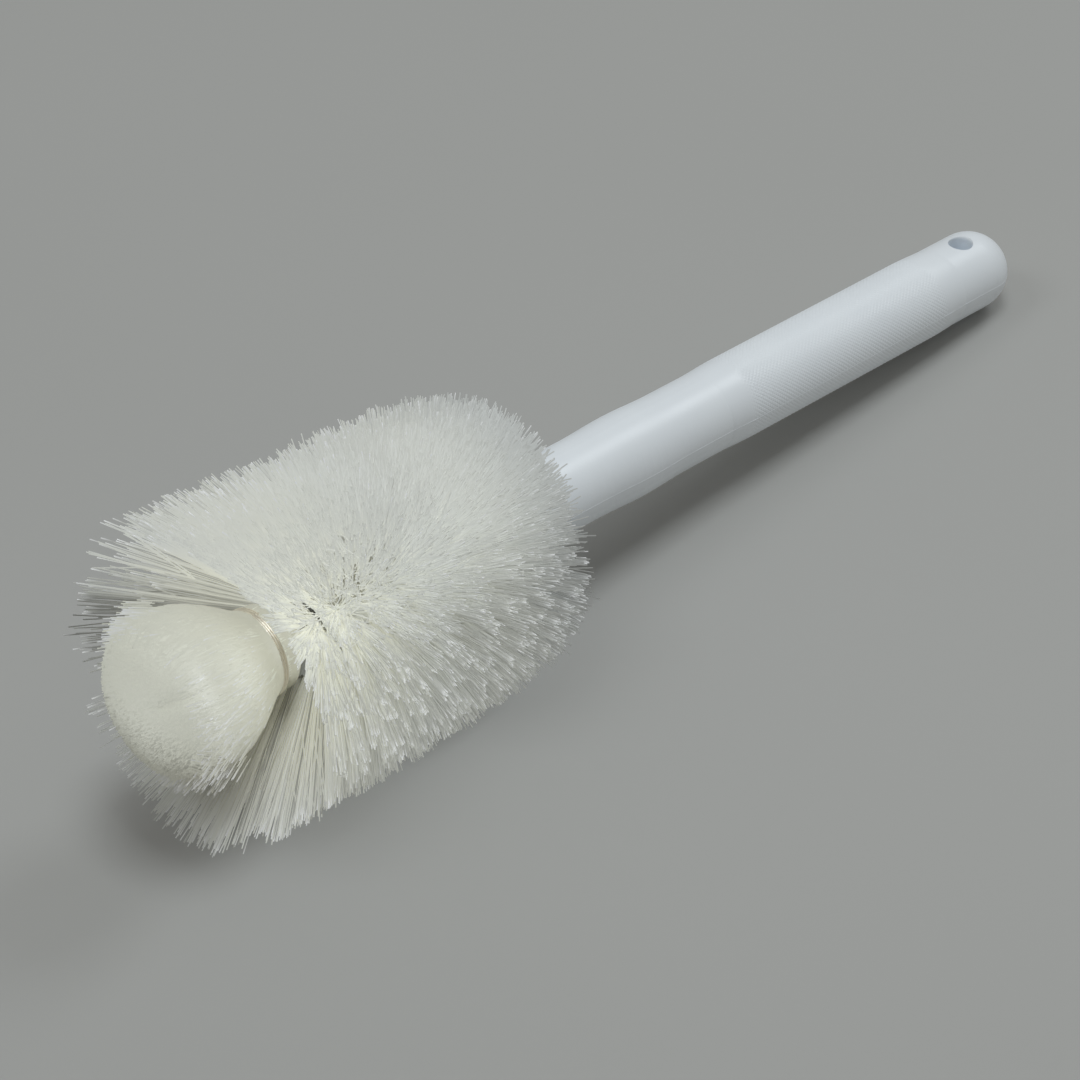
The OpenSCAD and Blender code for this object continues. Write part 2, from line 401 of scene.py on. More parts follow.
def nylon_mass(name, colour):
    """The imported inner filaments: a soft, pale surface with the grain of filament ends."""
    n = Nodes(name)
    where = n.place()
    grain = n.noise(1400, 3, where)
    broad = n.noise(120, 3, where)
    n.set(
        Base_Color=n.mottled(broad, darker(colour, 0.96), colour),
        Roughness=0.6,
        Normal=n.bump(grain, 0.25 * MM, 0.4),
    )
    return n.material


def wire_metal(name, colour, roughness):
    """Bright drawn wire with faint drawing lines."""
    n = Nodes(name)
    where = n.place()
    lines = n.noise(4000, 2, where)
    n.set(
        Base_Color=n.mottled(n.noise(300, 2, where), darker(colour, 0.9), colour),
        Metallic=1.0,
        Roughness=n.mottled(lines, grey(roughness), grey(roughness + 0.12)),
        Normal=n.bump(lines, 0.01 * MM, 0.4),
    )
    return n.material


# ---------------------------------------------------------------------------------------------
# Knurled grip: a closed sleeve, whose ends run down into the plain handle

KNURL_AROUND, KNURL_ALONG = 60, 58
KNURL_H, KNURL_FADE = 0.085 * MM, 2.5 * MM

# The sleeve's ends: places before the grip band and their distances from the axis
KNURL_RAMP = np.array([-8.2, -7.0, -4.5, -2.0]) * MM
RAMP_R = np.array([9.75, 9.97, 10.08, 10.2]) * MM

SLEEVE_GROOVE_R, SLEEVE_MEAN_R = GRIP_R + 0.04 * MM, GRIP_R + 0.08 * MM
SLEEVE_WALL = 0.4 * MM


def knurl(material):
    """The raised diamonds of the grip: a peak in each, and straight grooves between them."""
    rows, turns = 2 * KNURL_ALONG + 1, 2 * KNURL_AROUND
    band = np.linspace(GRIP_FROM, GRIP_TO, rows)
    stations = np.concatenate([GRIP_FROM + KNURL_RAMP, band, GRIP_TO - KNURL_RAMP[::-1]])
    i, j = np.meshgrid(np.arange(turns), np.arange(len(stations)), indexing="ij")
    base = np.concatenate([RAMP_R, np.full(rows, SLEEVE_GROOVE_R), RAMP_R[::-1]])
    fade = rise(np.minimum(stations - GRIP_FROM, GRIP_TO - stations), 0, KNURL_FADE)
    radius = base[None, :] + np.where((i + j) % 2 == 1, KNURL_H * fade[None, :], 0)
    angle = math.tau * np.arange(turns)[:, None] / turns
    outer = place(stations[None, :], radius, angle)
    wall = place(stations[None, [0, -1]], RAMP_R[0] - SLEEVE_WALL, angle)
    points = np.concatenate([outer, wall], axis=1)
    steps = points.shape[1]
    a = i[:, :-1] * steps + j[:, :-1]
    b = ((i[:, :-1] + 1) % turns) * steps + j[:, :-1]
    even = ((i + j)[:, :-1] % 2 == 0).ravel()
    a, b = a.ravel(), b.ravel()
    faces = np.concatenate([
        np.stack([a, b, b + 1], axis=1)[even], np.stack([a, b + 1, a + 1], axis=1)[even],
        np.stack([a, b, a + 1], axis=1)[~even], np.stack([b, b + 1, a + 1], axis=1)[~even],
    ])
    first = np.arange(turns) * steps
    following = np.roll(first, -1)
    last = len(stations) - 1
    inner = np.concatenate([
        np.stack([first + p, first + q, following + q, following + p], axis=1)
        for p, q in ((0, last + 1), (last + 1, last + 2), (last + 2, last))
    ])
    piece = make_piece("grip_knurl", points.reshape(-1, 3), [faces, inner], material)
    column = j[:, :-1].ravel()
    column = np.concatenate([column[even], column[even], column[~even], column[~even]])
    ramp = (column < len(RAMP_R)) | (column >= len(stations) - len(RAMP_R) - 1)
    piece.data.polygons.foreach_set("use_smooth", np.concatenate([ramp, np.zeros(len(inner), bool)]))


# ---------------------------------------------------------------------------------------------
# Parting line of the moulding

SEAM_R, SEAM_SUNK, SEAM_SIDES = 0.13 * MM, 0.09 * MM, 8
SEAM_STEPS = 120

# Over the round end, in degrees from the axis
SEAM_ROUND_FROM, SEAM_ROUND_TO, SEAM_ROUND_STEPS = 3, 88, 24


def handle_outline(station):
    """Distance of the handle's surface from the axis, between its round end and its nose."""
    ends = np.concatenate([GRIP_FROM + KNURL_RAMP, [GRIP_FROM, GRIP_TO], GRIP_TO - KNURL_RAMP[::-1]])
    sleeve_r = np.concatenate([RAMP_R, [SLEEVE_MEAN_R] * 2, RAMP_R[::-1]])
    sleeve = np.interp(station, ends, sleeve_r, left=0, right=0)
    share = rise(station, SWELL_FROM, SWELL_TO - SWELL_FROM)
    swelling = HANDLE_R + SWELL_RISE * (1 - np.cos(math.tau * share)) / 2
    return np.maximum(sleeve, swelling)


def parting_line(material):
    """The fine ridge that the two halves of the mould leave along both sides of the handle."""
    turn = np.radians(np.linspace(SEAM_ROUND_FROM, SEAM_ROUND_TO, SEAM_ROUND_STEPS))
    along = np.linspace(HANDLE_R, NOSE_FROM, SEAM_STEPS)
    station = np.concatenate([HANDLE_R * (1 - np.cos(turn)), along])
    radius = np.concatenate([HANDLE_R * np.sin(turn), handle_outline(along)])
    station = station + SEAM_SUNK * np.concatenate([np.cos(turn), 0 * along])
    radius = radius - SEAM_SUNK * np.concatenate([np.sin(turn), 1 + 0 * along])
    both_sides = np.array([[math.pi / 2], [3 * math.pi / 2]])
    paths = place(station[None, :], radius[None, :], both_sides)
    points, faces, around = tubes(paths, np.full(paths.shape[:2], SEAM_R), SEAM_SIDES, np.zeros(2))
    make_piece("parting_line", points, faces, material, normals=around.reshape(-1, 3))


# ---------------------------------------------------------------------------------------------
# Shape of the head. A share is a place along the head: 0 at its rear edge, 1 at its front edge.

HEAD_L = FILL_TO - FILL_FROM
ROWS_ALONG = 2 * HEAD_L / TWIST_PITCH
REAR_R, FRONT_R = 28.6 * MM, 37 * MM
FLOOR_GAP, FLOOR_GIVE = 0.25 * MM, 0.5 * MM

# Most of the change from one lean to the other comes in a step about the middle of the head.
REAR_LEAN, FRONT_LEAN = math.radians(-32), math.radians(46.5)
STEP_AT, STEP_WIDTH = 0.53, 0.13
STEP_PART, EVEN_PART = 0.55, 0.45

# The foremost row stops at this angle. Just past it the front edge starts again from further
# back, and comes forward again over the turn that follows.
ROW_END = math.radians(236)
ROW_STEP, ROW_STEP_TURN = math.radians(10.5), math.radians(9)
ROW_RECOVERY = math.radians(150)

# The front edge is longer on the far side, and the head is shorter on the near side, in mm.
LONG_TIPS, SHORT_TIPS = (3.0, 48, 30), (1.8, 278, 32)

# Parts where filaments are missing
SPARSE_FRONT, SPARSE_FAR, SPARSE_FAN = (0.85, 108, 38), (0.85, 57, 28), (0.35, 245, 35)
SPARSE_SIDE, SPARSE_REAR = (0.5, 49, 16), 0.75

# How much shorter than the longest a filament is on average, in mm, and at most
RAGGED, RAGGED_REAR, RAGGED_MOST = 1.1, 1.5, 12
RAGGED_FRONT, RAGGED_BACK, RAGGED_NEAR = (3.6, 62, 40), (1.4, 72, 40), (1.2, 270, 45)

# How far the tips stand proud of their reach, how much that varies from one to the next, and how
# far the whole edge rises and falls, in mm
PROUD, PROUD_VARIES, EDGE_WAVE = 0.6, 0.3, 1.1
EDGE_CELLS = (52, 18)

# Where neighbouring tips lean together into strands
STRANDS_NEAR, STRANDS_FAR, STRANDS_FAN = (1.0, 270, 50), (1.0, 58, 38), (0.45, 244, 36)
STRAND_CENTRES, FAN_CENTRES = 0.065, 0.03
STRAND_PULL, MORE_PULL = (0.05, 0.25), (0.25, 0.5)

# How deep under the tips the filaments merge into one mass, in mm
CORE_DEPTH, CORE_DEPTH_FAN, CORE_DEPTH_FRONT = 14.5, (2.0, 245, 40), 11.5
CORE_TURNS = 200
CORE_BORE = 2.4 * MM
CORE_WAVE, CORE_CELLS, CORE_SEED = 0.7 * MM, (40, 14), 5
MASS_FROM, MASS_TO = 0.1, 0.9

# How far up a filament's light comes from, beside its own direction outwards: less on the near side,
# above all at its rear, and uneven along the front edge. REAR_FACING is how far back it comes from at
# the rear, in degrees.
LIFT, LIFT_FAN = 1.1, (0.6, 252, 24)
LOW_SIDE, LOW_REAR, LOW_CHANGE = (1.0, 284, 44), 1.15, 0.65
LIFT_FRONT = ((1.1, 46, 26), (0.5, 338, 25), (2.3, 190, 28), (-1.1, 90, 22))
REAR_FACING = 30


def twist(station):
    return math.tau / TWIST_PITCH * (station - STEM_FROM) + TWIST_TURN


def lean_step(share):
    return 1 / (1 + np.exp(-(share - STEP_AT) / STEP_WIDTH))


def head_lean(share, angle):
    """Bristles lean back at the rear and forward at the front; the front edge varies with the angle."""
    low, high = lean_step(0), lean_step(1)
    mixed = STEP_PART * (lean_step(share) - low) / (high - low) + EVEN_PART * share
    past = (angle - ROW_END) % math.tau
    front = FRONT_LEAN - ROW_STEP * rise(past, 0, ROW_STEP_TURN) * fall(past, ROW_RECOVERY)
    return REAR_LEAN + (front - REAR_LEAN) * mixed


def tip_radius(share):
    return FRONT_R - (FRONT_R - REAR_R) * (1 - share) ** 4


def tip_reach(share, angle):
    """Distance of the tips from the axis."""
    longer = rise(share, 0.6, 0.3) * bell(angle, LONG_TIPS)
    return tip_radius(share) + (longer - bell(angle, SHORT_TIPS)) * MM


def leaning(share, reach, angle):
    """Points at this distance from the axis, on filaments with these places along the head."""
    return place(FILL_FROM + HEAD_L * share + reach * np.tan(head_lean(share, angle)), reach, angle)


def head_towards(share, angle):
    """The side that a filament's light comes from: outwards and up, as the fill round it scatters light."""
    back = np.radians(REAR_FACING * (1 - share) ** 2)[..., None]
    front = rise(share, 0.7, 0.2)
    lift = LIFT - (LOW_REAR - LOW_CHANGE * share) * bell(angle, LOW_SIDE)
    lift = lift + front * sum(bell(angle, spot) for spot in LIFT_FRONT)
    lift = lift + hump(share, 0.92, 0.1) * bell(angle, LIFT_FAN)
    return unit(np.cos(back) * outwards(angle) - np.sin(back) * AXIS + lift[..., None] * UP)


def thinning(share, angle):
    """Share of the filaments that are missing: most along the front edge's far side and at the rear."""
    front = bell(angle, SPARSE_FRONT) * rise(share, 0.78, 0.08)
    far = bell(angle, SPARSE_FAR) * rise(share, 0.76, 0.1)
    fan = bell(angle, SPARSE_FAN) * rise(share, 0.75, 0.1)
    rear = SPARSE_REAR * fall(share, 0.16)
    return np.max([front, far, fan, rear, bell(angle, SPARSE_SIDE)], axis=0)


def core_depth(share, angle):
    """How deep under the tips the filaments merge into one mass."""
    front = smooth(rise(share, 0.52, 0.2))
    return (CORE_DEPTH + bell(angle, CORE_DEPTH_FAN) + CORE_DEPTH_FRONT * front) * MM


def head_mass(material):
    """The inner mass of the head, where the filaments stand too close to be told apart."""
    rng = np.random.default_rng(CORE_SEED)
    angle = (math.tau * np.arange(CORE_TURNS) / CORE_TURNS)[:, None]
    rear, top, front, inner = 20, 60, 20, 8
    edge = np.concatenate([np.zeros(rear), np.linspace(0, 1, top), np.ones(front)])[None, :]
    share = MASS_FROM + (MASS_TO - MASS_FROM) * edge
    down = np.linspace(1, 0, front + 1)[1:]
    height = np.concatenate([np.linspace(0, 1, rear, endpoint=False), np.ones(top), down])[None, :]
    reach = tip_radius(share) - core_depth(share, angle)
    radius = CORE_BORE + (reach - CORE_BORE) * height
    radius = radius + CORE_WAVE * wavy(rng, angle, edge, CORE_CELLS) * height**2
    station = FILL_FROM + HEAD_L * share + radius * np.tan(head_lean(share, angle))
    back = np.linspace(1, 0, inner + 2)[None, 1:-1]
    inner_station = station[:, :1] + (station[:, -1:] - station[:, :1]) * back
    station = np.concatenate([station, inner_station], axis=1)
    radius = np.concatenate([radius, CORE_BORE + 0 * inner_station], axis=1)
    points = place(station, radius, angle).reshape(-1, 3)
    share = rise(station, FILL_FROM, HEAD_L)
    normals = head_towards(share, angle + 0 * share).reshape(-1, 3)
    faces = [grid_faces(CORE_TURNS, station.shape[1], closed=True)]
    make_piece("bristle_mass", points, faces, material, ["bristle_fill"], normals)


# ---------------------------------------------------------------------------------------------
# Filaments of the head

HEAD_COUNT, CROSSING_COUNT, HEAD_SEED = 21000, 14000, 11
BRISTLE_R, GROOVE_R = 0.16 * MM, 0.8 * MM
HEAD_STOPS = np.array([0.0, 0.6, 0.95, 1.0])
HEAD_SOFT, CROSSING_SOFT = np.array([5.0, 4.0, 2.5, 1.0]), 3.5
CROSSING_STOPS, CROSSING_TOP, CROSSING_PART = np.array([0.0, 1.0]), (0.9, 340, 38), 0.1
CROSSING_FROM, CROSSING_ROOT_OFF, CROSSING_TIP_OFF = (0.55, 0.8), 1.3 * MM, 0.5 * MM

# How far filaments stand off their row: along it in rows, and round it. Their bow and their roll
ALONG_ROW, ROUND_ROW = 0.55, math.radians(6)
BOW, ROLL = 0.4 * MM, 0.1

# The near side's filaments are less soft, and turn their edges every way. The lowest are shaded.
CRISP, ROLLED, SHADED = (0.5, 258, 42), (0.8, 268, 44), (1.0, 284, 40)

# Where cut ends glint: at both sides of the head, and at two parts of its front edge
GLINT_SIDES = ((1.0, 58, 38), (1.0, 272, 38))
GLINT_FRONT = ((1.0, 215, 70), (1.0, 108, 30))
GLINT_PART, GLINT_RANGE, GLINT_TILT = 0.65, (0.4, 1), 0.35

# Where filaments are darkened as painted shade for the dark between strands, and a part in the middle
# of those that gets less. It is weaker at the rear, and grows from one place on over a length.
DIM_SIDES, DIM_LESS = ((1.0, 62, 34), (0.55, 272, 44), (0.9, 225, 45)), (0.7, 262, 30)
DIM_PART, DIM_RANGE = 0.45, (0.35, 0.95)
DIM_MEAN, DIM_WAVE, DIM_CELLS, DIM_LEAST = 0.75, 0.9, (44, 5), 0.15
DIM_REAR, DIM_FRONT_AT, DIM_FRONT_L = 0.35, 0.6, 0.35


def gathered(points, density, pull, rng):
    """How far points move towards random centres among them, a share of the points, to stand in clumps."""
    centres = points[rng.random(len(points)) < density]
    tree = KDTree(len(centres))
    for i, centre in enumerate(centres):
        tree.insert(centre, i)
    tree.balance()
    nearest = np.array([tree.find(point)[1] for point in points])
    return (centres[nearest] - points) * pull[:, None]


def held_up(paths, stops, give):
    """Bends the filaments that would reach through the floor, so that their tips lie on it."""
    sunk = np.maximum(FLOOR_GAP + give - paths[:, -1, 2], 0)
    paths[..., 2] += sunk[:, None] * stops**2
    return paths


def head_paths(rng, half, count):
    """Paths of the filaments that one row of the twist holds."""
    root_share = (np.arange(count) + rng.uniform(0, 1, count)) / count
    share = root_share + rng.uniform(-ALONG_ROW, ALONG_ROW, count) / ROWS_ALONG
    share = 1 - np.abs(1 - np.abs(share))
    root = FILL_FROM + HEAD_L * root_share
    angle = twist(root) + math.pi / 2 + half * math.pi + rng.normal(0, ROUND_ROW, count)
    front = rise(share, 0.6, 0.2)
    ragged = RAGGED + bell(angle, RAGGED_FRONT) * front + bell(angle, RAGGED_NEAR)
    ragged = ragged + RAGGED_REAR * fall(share, 0.2) + bell(angle, RAGGED_BACK) * (1 - front)
    short = np.minimum(ragged * rng.exponential(1, count), RAGGED_MOST)
    uneven_edge = EDGE_WAVE * wavy(rng, angle, share, EDGE_CELLS)
    proud = PROUD + rng.normal(0, PROUD_VARIES, count) - short + uneven_edge
    tip = leaning(share, tip_reach(share, angle) + proud * MM, angle)
    stranded = np.maximum(bell(angle, STRANDS_NEAR), bell(angle, STRANDS_FAR))
    pull = rng.uniform(*STRAND_PULL, count) + stranded * rng.uniform(*MORE_PULL, count)
    tip += gathered(tip, STRAND_CENTRES, pull, rng)
    fan = bell(angle, STRANDS_FAN) * rise(share, 0.75, 0.15)
    tip += gathered(tip, FAN_CENTRES, fan, rng)
    start = place(root, GROOVE_R, angle)
    t = HEAD_STOPS[None, :, None]
    bow = rng.normal(0, BOW, (count, 1, 3)) * np.sin(math.pi * t)
    paths = start[:, None] + (tip - start)[:, None] * t + bow
    kept = rng.random(count) > thinning(share, angle)
    paths = held_up(paths, HEAD_STOPS, rng.uniform(0, FLOOR_GIVE, count))
    return paths[kept], share[kept], angle[kept]


def head_glint(rng, share, angle):
    """How much each cut end glints, with a painted highlight: some at the head's edges catch the light."""
    front = rise(share, 0.75, 0.15)
    edge = [bell(angle, spot) for spot in GLINT_SIDES] + [front * bell(angle, spot) for spot in GLINT_FRONT]
    edge = np.max([*edge, fall(share, 0.15)], axis=0)
    bright = rng.random(len(share)) < GLINT_PART * edge
    return np.where(bright, rng.uniform(*GLINT_RANGE, len(share)), 0)


def head_painted_gap_shade(rng, share, angle):
    """Painted shade for the dark between strands, per filament: more towards the front, and in patches."""
    painted_gap_shade = np.max([bell(angle, spot) for spot in DIM_SIDES], axis=0)
    painted_gap_shade = painted_gap_shade * np.clip(DIM_REAR + (share - DIM_FRONT_AT) / DIM_FRONT_L, DIM_REAR, 1)
    painted_gap_shade = painted_gap_shade * (1 - hump(share, 0.76, 0.12) * bell(angle, DIM_LESS))
    painted_gap_shade = painted_gap_shade * np.clip(DIM_MEAN + DIM_WAVE * wavy(rng, angle, share, DIM_CELLS), DIM_LEAST, 1)
    dark = rng.random(len(share)) < DIM_PART
    return painted_gap_shade * np.where(dark, rng.uniform(*DIM_RANGE, len(share)), 0)


def crossing_paths(rng, count):
    """Shorter lengths of the filaments that bend across their neighbours near the tips."""
    share = rng.uniform(0.05, 0.97, count)
    angle = rng.uniform(0, math.tau, count)
    kept = rng.random(count) < CROSSING_PART + bell(angle, CROSSING_TOP)
    share, angle = share[kept], angle[kept]
    tip = leaning(share, tip_radius(share) + rng.normal(0, 0.6, len(share)) * MM, angle)
    root = place(FILL_FROM + HEAD_L * share, 0 * share, angle)
    inner = root + (tip - root) * rng.uniform(*CROSSING_FROM, len(share))[:, None]
    inner += rng.normal(0, CROSSING_ROOT_OFF, inner.shape)
    tip += rng.normal(0, CROSSING_TIP_OFF, tip.shape)
    paths = np.stack([inner, tip], axis=1)
    return held_up(paths, CROSSING_STOPS, rng.uniform(0, FLOOR_GIVE, len(share))), share, angle


def head_bristles(material):
    rng = np.random.default_rng(HEAD_SEED)
    for half, row in ((0, "a"), (1, "b")):
        paths, share, angle = head_paths(rng, half, HEAD_COUNT // 2)
        towards = head_towards(share, angle)
        thick = varied(rng, BRISTLE_R, paths)
        softness = HEAD_SOFT[None, :] * (1 - bell(angle, CRISP))[:, None]
        roll = rng.normal(0, 1, len(paths)) * (ROLL + bell(angle, ROLLED))
        low = rng.random(len(paths)) < (1.4 - 0.6 * share) * bell(angle, SHADED)
        glint = head_glint(rng, share, angle)
        painted_gap_shade = head_painted_gap_shade(rng, share, angle)
        for part, keep in (("open", ~low), ("low", low)):
            facing = np.repeat(towards[keep][:, None], len(HEAD_STOPS), axis=1)
            tilted = rng.normal(0, GLINT_TILT, (keep.sum(), 3)) + UP
            facing[:, -1] = unit(facing[:, -1] + glint[keep][:, None] * tilted)
            filaments(
                f"bristles_{row}_{part}", paths[keep], thick[keep], softness[keep], facing, roll[keep],
                material, ["bristle_fill"],
                shaded=part == "low", glint=glint[keep], painted_gap_shade=painted_gap_shade[keep],
            )
    paths, share, angle = crossing_paths(rng, CROSSING_COUNT)
    thick = np.full(paths.shape[:2], BRISTLE_R)
    facing = np.repeat(head_towards(share, angle)[:, None], len(CROSSING_STOPS), axis=1)
    filaments(
        "bristles_crossing", paths, thick, np.full(thick.shape, CROSSING_SOFT), facing,
        np.zeros(len(paths)), material, ["bristle_fill"],
    )


# ---------------------------------------------------------------------------------------------
# Tuft

TUFT_SIDE_COUNT, TUFT_END_COUNT, TUFT_SEED = 3000, 5500, 23
TUFT_BRISTLE_R, TUFT_SOFT, TUFT_ROLL = 0.14 * MM, 6.0, 0.15
TUFT_GLINT_RANGE = (0.5, 1)
TUFT_LIFT = 1.4
TUFT_LIP_R, TUFT_REAR_R = 10.3 * MM, 4.6 * MM
TUFT_REAR_AT, TUFT_LIP_AT = 238.7 * MM, 245.4 * MM
BINDING_FROM, BINDING_TO = BINDING_AT - BINDING_HALF, BINDING_AT + BINDING_HALF

# The side's filaments have their stops at these parts of their length, close together where they are
# bound and lie sunk. They end between these stations, in mm.
SIDE_STOPS = np.array([0.0, 0.17, 0.24, 0.34, 0.5, 0.75, 0.93, 1.0])
SIDE_ENDS = (258, 279)
BOUND_HALF, BOUND_SUNK = 2.2 * MM, 0.25 * MM
SIDE_PROUD, SIDE_END_PROUD = (-0.1, 0.12), (0, 0.9)
SIDE_TURN, SIDE_TILT = math.radians(2), 0.12
SIDE_GLINT = (0.4, 282, 34)

# Stops of the end filaments, as distances behind their tips, and the lean of the outermost in radians.
# At two places the outermost splay, and most of those glint.
END_BACK = np.array([7.0, 3.0, 0.0]) * MM
END_LEAN, END_PROUD, RIM_PROUD, SPLAY_PROUD = 0.45, (-0.2, 0.5), 1.6, (0.5, 3.0)
SPLAY_FAR, SPLAY_NEAR = (0.6, 45, 22), (0.75, 225, 55)
SPLAY_GLINT = 0.7

# The parting up the tuft's end: its angle in degrees, and its depth, half width and run in mm
CREASE_ANGLE, CREASE_DEPTH, CREASE_HALF = 310, 1.0 * MM, 1.7
CREASE_FROM, CREASE_RISE, CREASE_TO, CREASE_FALL = 269, 5, 283, 1.5
CREASE_PULL, CREASE_LEAST_R = 0.6, 4 * MM

# The mass lies inside the filaments by a share of its radius and a distance along the axis, both of
# them reached this far past the binding. Its surface has waves with these heights in mm and cells.
TUFT_MASS_IN, TUFT_MASS_BACK, TUFT_MASS_FREE = 0.02, 0.5 * MM, 6 * MM
TUFT_WAVES = ((0.25, (14, 8)), (0.08, (90, 10)))
TUFT_MASS_SEED = 31


def tuft_radius(station):
    """Half outline of the tuft: a cone, pinched by the binding, then a swelling to the belly and a dome."""
    cone_at = [TUFT_REAR_AT, TUFT_LIP_AT, BINDING_FROM - 0.5 * MM, BINDING_FROM]
    cone = np.interp(station, cone_at, [TUFT_REAR_R, TUFT_LIP_R, TUFT_LIP_R, NECK_R])
    swelling = np.sin(math.pi / 2 * rise(station, BINDING_TO, BELLY_AT - BINDING_TO))
    swell = NECK_R + (BELLY_R - NECK_R) * swelling
    dome = BELLY_R * np.sqrt(np.clip(1 - ((station - BELLY_AT) / DOME_L) ** 2, 0, 1))
    side = np.where(station < BELLY_AT, swell, dome)
    return np.where(station < BINDING_TO, np.minimum(cone, swell), side)


def crease(station, angle):
    """Depth of the parting that runs up the tuft's end on the near side."""
    turn = np.radians(degrees_from(angle, CREASE_ANGLE))
    width = turn * np.maximum(tuft_radius(station), CREASE_LEAST_R) / MM
    fading = np.clip((CREASE_TO - station / MM) / CREASE_FALL, 0, 1)
    along = rise(station / MM, CREASE_FROM, CREASE_RISE) * fading
    return CREASE_DEPTH * along * np.exp(-(width / CREASE_HALF) ** 2)


def tuft_mass(material):
    """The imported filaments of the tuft, with the shallow crease that parts its end."""
    rng = np.random.default_rng(TUFT_MASS_SEED)
    turns, rear, swell, dome = 300, 24, 60, 60
    stations = np.concatenate([
        np.linspace(TUFT_REAR_AT, BINDING_TO, rear, endpoint=False),
        np.linspace(BINDING_TO, BELLY_AT, swell, endpoint=False),
        BELLY_AT + DOME_L * np.sin(np.linspace(0, 0.47 * math.pi, dome)),
    ])
    angle = (math.tau * np.arange(turns) / turns)[:, None]
    radius = tuft_radius(stations)[None, :] + 0 * angle
    along = ((stations - stations[0]) / (stations[-1] - stations[0]))[None, :]
    free = rise(stations, BINDING_TO, TUFT_MASS_FREE)[None, :]
    bumps = sum(amount * wavy(rng, angle, along, cells) for amount, cells in TUFT_WAVES)
    sunk = crease(stations[None, :], angle)
    uneven = bumps * MM * free * np.clip(radius / BELLY_R, 0, 1)
    slope = np.gradient(tuft_radius(stations), stations)[None, :, None]
    out = outwards(angle + 0 * radius)
    normals = unit(unit(out - np.clip(slope, -20, 20) * AXIS) + TUFT_LIFT * UP).reshape(-1, 3)
    radius = np.maximum(radius * (1 - TUFT_MASS_IN * free) - sunk + uneven, 0)
    station = stations[None, :] - TUFT_MASS_BACK * free - CREASE_PULL * sunk
    points = place(station, radius, angle).reshape(-1, 3)
    steps = len(stations)
    rear_cap = (np.arange(turns)[::-1] * steps)[None, :]
    end_cap = (np.arange(turns) * steps + steps - 1)[None, :]
    faces = [grid_faces(turns, steps, closed=False), rear_cap, end_cap]
    make_piece("tuft_mass", points, faces, material, ["tip_tuft"], normals)


def tuft_side(rng):
    """Filaments along the tuft's side, from behind the binding to their own cut ends.

    Returns their paths, the sides their light comes from and the share whose ends glint.
    """
    n = TUFT_SIDE_COUNT
    angle = rng.uniform(0, math.tau, n)
    end = rng.uniform(*SIDE_ENDS, n) * MM
    start = TUFT_REAR_AT + rng.uniform(0.5, 1.5, n) * MM
    station = start[:, None] + (end - start)[:, None] * SIDE_STOPS
    proud = rng.uniform(*SIDE_PROUD, n)[:, None] * MM
    proud = proud + rng.uniform(*SIDE_END_PROUD, n)[:, None] * MM * np.clip(SIDE_STOPS - 0.6, 0, 1)
    bound = np.abs(station - BINDING_AT) < BOUND_HALF
    turn = angle[:, None] + rng.normal(0, SIDE_TURN, (n, 1)) * SIDE_STOPS
    radius = tuft_radius(station) - crease(station, turn) + np.where(bound, -BOUND_SUNK, proud)
    slope = (tuft_radius(station + 0.5 * MM) - tuft_radius(station - 0.5 * MM)) / MM
    facing = unit(outwards(turn) - slope[..., None] * AXIS + TUFT_LIFT * UP)
    facing[:, -1] = unit(facing[:, -1] + rng.normal(0, SIDE_TILT, (n, 3)))
    return place(station, radius, turn), facing, bell(angle, SIDE_GLINT)


def tuft_end(rng):
    """Filaments that end on the dome; the outermost ones splay. Returns the same as tuft_side."""
    n = TUFT_END_COUNT
    spread = np.sqrt(rng.uniform(0, 1, n))[:, None]
    angle = rng.uniform(0, math.tau, n)[:, None]
    height = DOME_L * np.sqrt(1 - 0.999 * spread**2)
    proud = (rng.uniform(*END_PROUD, (n, 1)) + RIM_PROUD * spread**6 * rng.uniform(0, 1, (n, 1))) * MM
    free = np.maximum(bell(angle, SPLAY_FAR), bell(angle, SPLAY_NEAR))
    splayed = rng.random((n, 1)) < free * rise(spread, 0.8, 0.1)
    proud = proud + np.where(splayed, rng.uniform(*SPLAY_PROUD, (n, 1)), 0) * MM
    station = BELLY_AT + height + proud * (1 - spread**4)
    sunk = crease(station, angle)
    radius = BELLY_R * spread + (proud - sunk) * spread**2
    lean = END_LEAN * spread**2
    station = station - CREASE_PULL * sunk - END_BACK * np.cos(lean)
    paths = place(station, np.maximum(radius - END_BACK * np.sin(lean), 0), angle)
    dome = height[..., None] / DOME_L**2 * AXIS + spread[..., None] / BELLY_R * outwards(angle)
    facing = np.repeat(unit(unit(dome) + TUFT_LIFT * UP), len(END_BACK), axis=1)
    return paths, facing, SPLAY_GLINT * splayed[:, 0]


def tuft(material, mass_material):
    rng = np.random.default_rng(TUFT_SEED)
    tuft_mass(mass_material)
    for name, (paths, towards, edge) in (("tuft_side", tuft_side(rng)), ("tuft_end", tuft_end(rng))):
        thick = varied(rng, TUFT_BRISTLE_R, paths)
        softness = np.full(thick.shape, TUFT_SOFT)
        roll = rng.normal(0, TUFT_ROLL, len(paths))
        glint = np.where(rng.random(len(paths)) < edge, rng.uniform(*TUFT_GLINT_RANGE, len(paths)), 0)
        filaments(
            name, paths, thick, softness, towards, roll,
            material, ["tip_tuft"], glint=glint,
        )


# ---------------------------------------------------------------------------------------------
# Camera, floor and lights

CAMERA_FROM = (-44.67, 42.18)
CAMERA_DISTANCE = 0.9
PICTURE_PX, FOCAL_PX, SENSOR = 1080, 3939, 36.0
LOOK_AT = np.array([-24.09, -3.97, 20.0]) * MM
FLOOR_HALF = 3.0
LAMP_COLOUR = (0.92, 0.97, 1.0)
SURROUND_COLOUR, SURROUND_STRENGTH = (1.0, 0.985, 0.94, 1.0), 0.25


